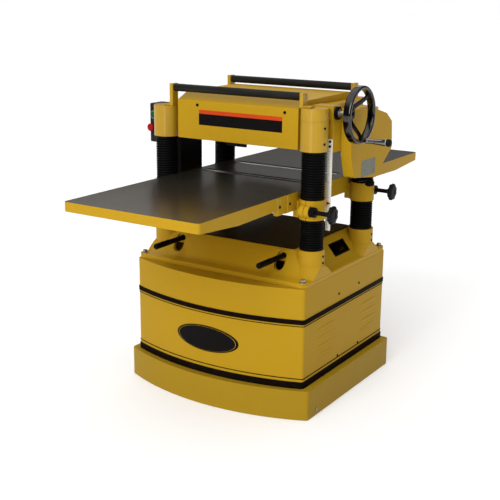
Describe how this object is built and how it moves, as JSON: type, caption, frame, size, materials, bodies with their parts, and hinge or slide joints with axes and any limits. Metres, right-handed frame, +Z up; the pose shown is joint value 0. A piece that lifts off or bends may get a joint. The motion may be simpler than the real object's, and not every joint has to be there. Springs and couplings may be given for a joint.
{
  "type": "thickness planer",
  "caption": "Free-standing four-post thickness planer: sheet cabinet, cast base, screw-raised table with extensions, fixed cutting head, return rollers and side handwheel.",
  "frame": {"origin": "centre of the cabinet's footprint, on the floor", "axes": "+Z up, +Y from the infeed side to the outfeed side, +X to the handwheel side"},
  "size_m": [0.928, 1.5, 1.079],
  "materials": {
    "black_paint": "satin black paint",
    "black_plastic": "moulded black plastic",
    "bright_chrome": "polished chrome",
    "dark_iron": "raw cast iron",
    "gold_paint": "satin golden-yellow paint",
    "green_plastic": "green plastic",
    "ground_iron": "ground cast iron",
    "motor_paint": "dark grey paint",
    "red_plastic": "red plastic",
    "rubber": "matt black rubber",
    "scale_metal": "brushed aluminium",
    "steel": "machined steel"
  },
  "bodies": {
    "frame": {"cabinet_plinth": "gold_paint", "cabinet_body": "gold_paint", "base_casting": "gold_paint", "deck_plate": "black_paint", "column_front_left": "bright_chrome", "column_front_right": "bright_chrome", "column_rear_left": "bright_chrome", "column_rear_right": "bright_chrome", "elevation_chain": "steel", "bellows_upper_front_left": "rubber", "bellows_upper_front_right": "rubber", "bellows_upper_rear_left": "rubber", "bellows_upper_rear_right": "rubber", "bellows_lower_front_left": "rubber", "bellows_lower_front_right": "rubber", "bellows_lower_rear_left": "rubber", "bellows_lower_rear_right": "rubber", "motor": "motor_paint", "drive_belt": "rubber", "belt_guard": "black_paint", "feed_chain": "steel", "head_casting": "gold_paint", "gearbox_cap": "gold_paint", "hood_cover": "gold_paint", "chip_hood": "gold_paint", "gear_cover": "gold_paint", "roller_bracket_front_left": "gold_paint", "roller_bracket_front_right": "gold_paint", "roller_bracket_rear_left": "gold_paint", "roller_bracket_rear_right": "gold_paint", "switch_box": "black_plastic", "depth_scale": "scale_metal"},
    "table": {"table": "ground_iron", "infeed_extension": "ground_iron", "outfeed_extension": "ground_iron", "scale_pointer": "red_plastic"},
    "lead_screw_front_left": {"lead_screw_front_left": "steel"},
    "lead_screw_front_right": {"lead_screw_front_right": "steel"},
    "lead_screw_rear_left": {"lead_screw_rear_left": "steel"},
    "lead_screw_rear_right": {"lead_screw_rear_right": "steel"},
    "handwheel": {"handwheel": "black_paint", "handwheel_shaft": "steel"},
    "crank_handle": {"crank_handle": "bright_chrome"},
    "cutterhead": {"cutterhead": "steel"},
    "motor_pulley": {"motor_pulley": "dark_iron"},
    "feed_reduction_gear": {"feed_reduction_gear": "steel"},
    "infeed_roller": {"infeed_roller": "steel"},
    "outfeed_roller": {"outfeed_roller": "steel"},
    "kickback_fingers": {"kickback_fingers": "steel"},
    "feed_speed_lever": {"feed_speed_lever": "black_paint"},
    "return_roller_front": {"return_roller_front": "rubber"},
    "return_roller_rear": {"return_roller_rear": "rubber"},
    "bed_roller_infeed": {"bed_roller_infeed": "steel"},
    "bed_roller_outfeed": {"bed_roller_outfeed": "steel"},
    "lock_knob_front": {"lock_knob_front": "black_plastic"},
    "lock_knob_rear": {"lock_knob_rear": "black_plastic"},
    "lift_bar_left": {"lift_bar_left": "black_paint"},
    "lift_bar_right": {"lift_bar_right": "black_paint"},
    "stop_button": {"stop_button": "red_plastic"},
    "start_button": {"start_button": "green_plastic"}
  },
  "joints": [
    {"name": "handwheel_turn", "type": "hinge", "parent": "frame", "child": "handwheel", "pos_m": [0.38, -0.1187, 0.987], "axis": [-1, 0, 0], "range_deg": [-13500, 21600]},
    {"name": "table_lift", "type": "slide", "parent": "frame", "child": "table", "axis": [0, 0, 1], "range_m": [-0.075, 0.12], "deforming": ["bellows_upper_front_left", "bellows_upper_front_right", "bellows_upper_rear_left", "bellows_upper_rear_right", "bellows_lower_front_left", "bellows_lower_front_right", "bellows_lower_rear_left", "bellows_lower_rear_right"]},
    {"name": "screw_turn_front_left", "type": "hinge", "parent": "frame", "child": "lead_screw_front_left", "pos_m": [-0.294, -0.18, 0.6], "axis": [0, 0, 1], "continuous": true},
    {"name": "screw_turn_front_right", "type": "hinge", "parent": "frame", "child": "lead_screw_front_right", "pos_m": [0.294, -0.18, 0.6], "axis": [0, 0, 1], "continuous": true},
    {"name": "screw_turn_rear_left", "type": "hinge", "parent": "frame", "child": "lead_screw_rear_left", "pos_m": [-0.294, 0.18, 0.6], "axis": [0, 0, 1], "continuous": true},
    {"name": "screw_turn_rear_right", "type": "hinge", "parent": "frame", "child": "lead_screw_rear_right", "pos_m": [0.294, 0.18, 0.6], "axis": [0, 0, 1], "continuous": true},
    {"name": "crank_handle_spin", "type": "hinge", "parent": "handwheel", "child": "crank_handle", "pos_m": [0.436, -0.09814, 0.90453], "axis": [1, 0, 0], "continuous": true},
    {"name": "cutterhead_spin", "type": "hinge", "parent": "frame", "child": "cutterhead", "pos_m": [0, 0.012, 0.907], "axis": [1, 0, 0], "continuous": true},
    {"name": "motor_pulley_spin", "type": "hinge", "parent": "frame", "child": "motor_pulley", "pos_m": [-0.32, 0, 0.25], "axis": [1, 0, 0], "continuous": true},
    {"name": "reduction_gear_spin", "type": "hinge", "parent": "frame", "child": "feed_reduction_gear", "pos_m": [0.35, 0.012, 0.8455], "axis": [1, 0, 0], "continuous": true},
    {"name": "infeed_roller_spin", "type": "hinge", "parent": "frame", "child": "infeed_roller", "pos_m": [0, -0.059, 0.8953], "axis": [1, 0, 0], "continuous": true},
    {"name": "outfeed_roller_spin", "type": "hinge", "parent": "frame", "child": "outfeed_roller", "pos_m": [0, 0.138, 0.8953], "axis": [1, 0, 0], "continuous": true},
    {"name": "kickback_swing", "type": "hinge", "parent": "frame", "child": "kickback_fingers", "pos_m": [0, -0.125, 0.92], "axis": [1, 0, 0], "range_deg": [0, 50]},
    {"name": "feed_speed_select", "type": "hinge", "parent": "frame", "child": "feed_speed_lever", "pos_m": [0.36, 0.102, 0.745], "axis": [0, 0, 1], "range_deg": [-25, 25]},
    {"name": "return_roller_front_spin", "type": "hinge", "parent": "frame", "child": "return_roller_front", "pos_m": [0, -0.187, 1.0385], "axis": [1, 0, 0], "continuous": true},
    {"name": "return_roller_rear_spin", "type": "hinge", "parent": "frame", "child": "return_roller_rear", "pos_m": [0, 0.166, 1.043], "axis": [1, 0, 0], "continuous": true},
    {"name": "bed_roller_infeed_spin", "type": "hinge", "parent": "table", "child": "bed_roller_infeed", "pos_m": [0, -0.059, 0.7194], "axis": [1, 0, 0], "continuous": true},
    {"name": "bed_roller_outfeed_spin", "type": "hinge", "parent": "table", "child": "bed_roller_outfeed", "pos_m": [0, 0.138, 0.7194], "axis": [1, 0, 0], "continuous": true},
    {"name": "lock_knob_front_turn", "type": "hinge", "parent": "table", "child": "lock_knob_front", "pos_m": [0.38, -0.222, 0.6795], "axis": [1, 0, 0], "range_deg": [-20, 270]},
    {"name": "lock_knob_rear_turn", "type": "hinge", "parent": "table", "child": "lock_knob_rear", "pos_m": [0.38, 0.222, 0.6795], "axis": [1, 0, 0], "range_deg": [-20, 270]},
    {"name": "lift_bar_left_pull", "type": "slide", "parent": "frame", "child": "lift_bar_left", "axis": [0, -1, 0], "range_m": [-0.085, 0.06]},
    {"name": "lift_bar_right_pull", "type": "slide", "parent": "frame", "child": "lift_bar_right", "axis": [0, -1, 0], "range_m": [-0.085, 0.06]},
    {"name": "stop_button_press", "type": "slide", "parent": "frame", "child": "stop_button", "axis": [0, 1, 0], "range_m": [0, 0.004], "stiffness_N_per_m": 800, "springref_m": -0.002},
    {"name": "start_button_press", "type": "slide", "parent": "frame", "child": "start_button", "axis": [0, 1, 0], "range_m": [0, 0.004], "stiffness_N_per_m": 600, "springref_m": -0.002}
  ],
  "couplings": [
    {"joint": "handwheel_turn", "follows": "table_lift", "rad_per_m": 3141.6},
    {"joint": "screw_turn_front_left", "follows": "table_lift", "rad_per_m": -1570.8},
    {"joint": "screw_turn_front_right", "follows": "table_lift", "rad_per_m": -1570.8},
    {"joint": "screw_turn_rear_left", "follows": "table_lift", "rad_per_m": -1570.8},
    {"joint": "screw_turn_rear_right", "follows": "table_lift", "rad_per_m": -1570.8},
    {"joint": "motor_pulley_spin", "follows": "cutterhead_spin", "ratio": 0.76191},
    {"joint": "reduction_gear_spin", "follows": "cutterhead_spin", "ratio": -0.29787},
    {"joint": "infeed_roller_spin", "follows": "cutterhead_spin", "ratio": -0.221},
    {"joint": "outfeed_roller_spin", "follows": "cutterhead_spin", "ratio": -0.221}
  ]
}
